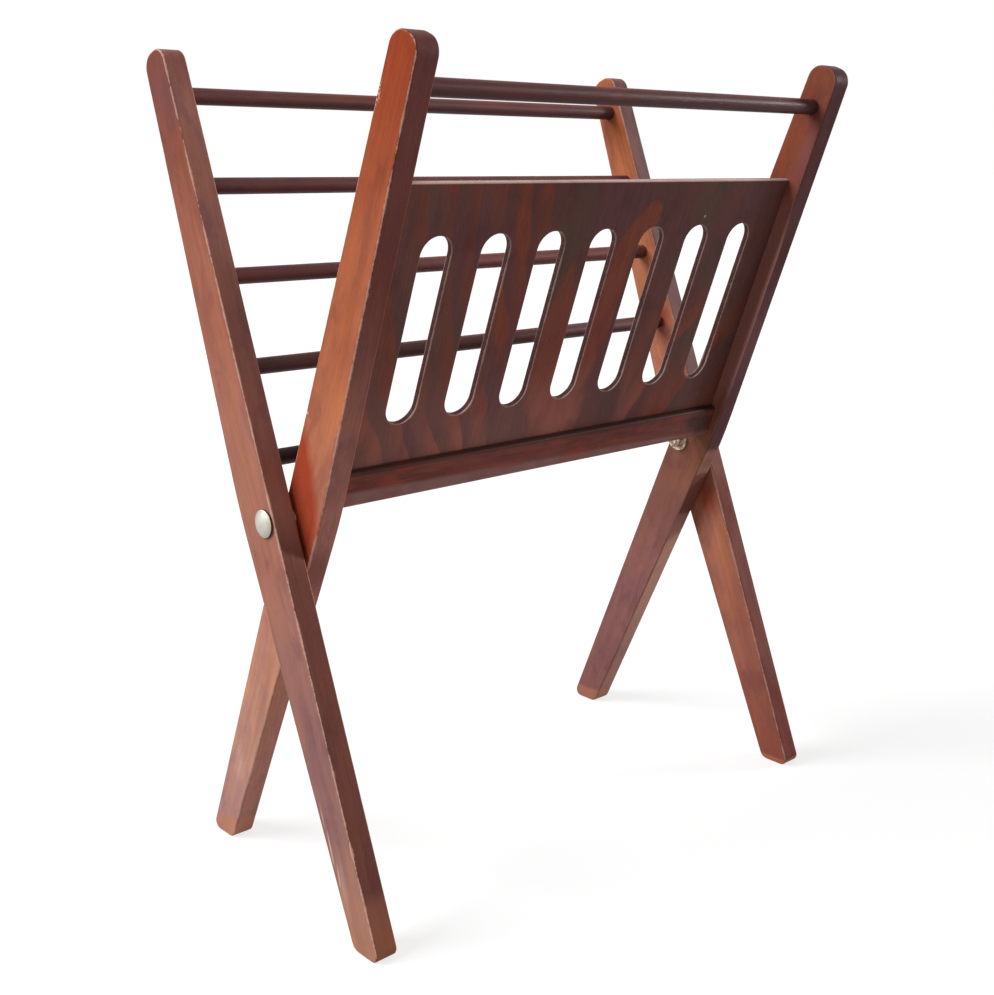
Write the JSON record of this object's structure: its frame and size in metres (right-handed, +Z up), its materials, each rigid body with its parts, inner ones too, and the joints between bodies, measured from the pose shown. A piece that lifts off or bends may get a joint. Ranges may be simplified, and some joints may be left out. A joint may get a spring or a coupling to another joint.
{
  "type": "folding magazine rack",
  "caption": "Folding wooden magazine rack: crossed leg frames on pivot bolts, with a slotted panel in front and dowel rungs behind that form a V-shaped pocket.",
  "frame": {"origin": "centre of the rack's box, on the floor under it", "axes": "+X along the rungs, to the right seen from the panel's side; +Y from the panel towards the back rungs; +Z up"},
  "size_m": [0.407, 0.229, 0.5],
  "materials": {
    "leg_wood": "reddish brown stain under satin varnish",
    "rung_wood": "dark brown stain under satin varnish",
    "panel_plywood": "plywood with dark brown stain under satin varnish",
    "rail_wood": "dark reddish brown stain under satin varnish",
    "plated_steel": "dull zinc plate"
  },
  "bodies": {
    "back_frame": {"back_leg_left": "leg_wood", "back_leg_right": "leg_wood", "back_rung_1": "rung_wood", "back_rung_2": "rung_wood", "back_rung_3": "rung_wood", "back_rung_4": "rung_wood", "back_rung_5": "rung_wood", "pivot_bolt_left": "plated_steel", "pivot_bolt_right": "plated_steel", "spacer_washer_left": "plated_steel", "spacer_washer_right": "plated_steel", "nut_washer_left": "plated_steel", "nut_washer_right": "plated_steel", "pivot_nut_left": "plated_steel", "pivot_nut_right": "plated_steel"},
    "front_frame": {"front_leg_left": "leg_wood", "front_leg_right": "leg_wood", "front_top_rung": "rung_wood", "slotted_panel": "panel_plywood", "bottom_rail": "rail_wood"}
  },
  "joints": [
    {"name": "fold", "type": "hinge", "parent": "back_frame", "child": "front_frame", "pos_m": [0, 0.00081, 0.2355], "axis": [-1, 0, 0], "range_deg": [-20, 34.5]}
  ]
}
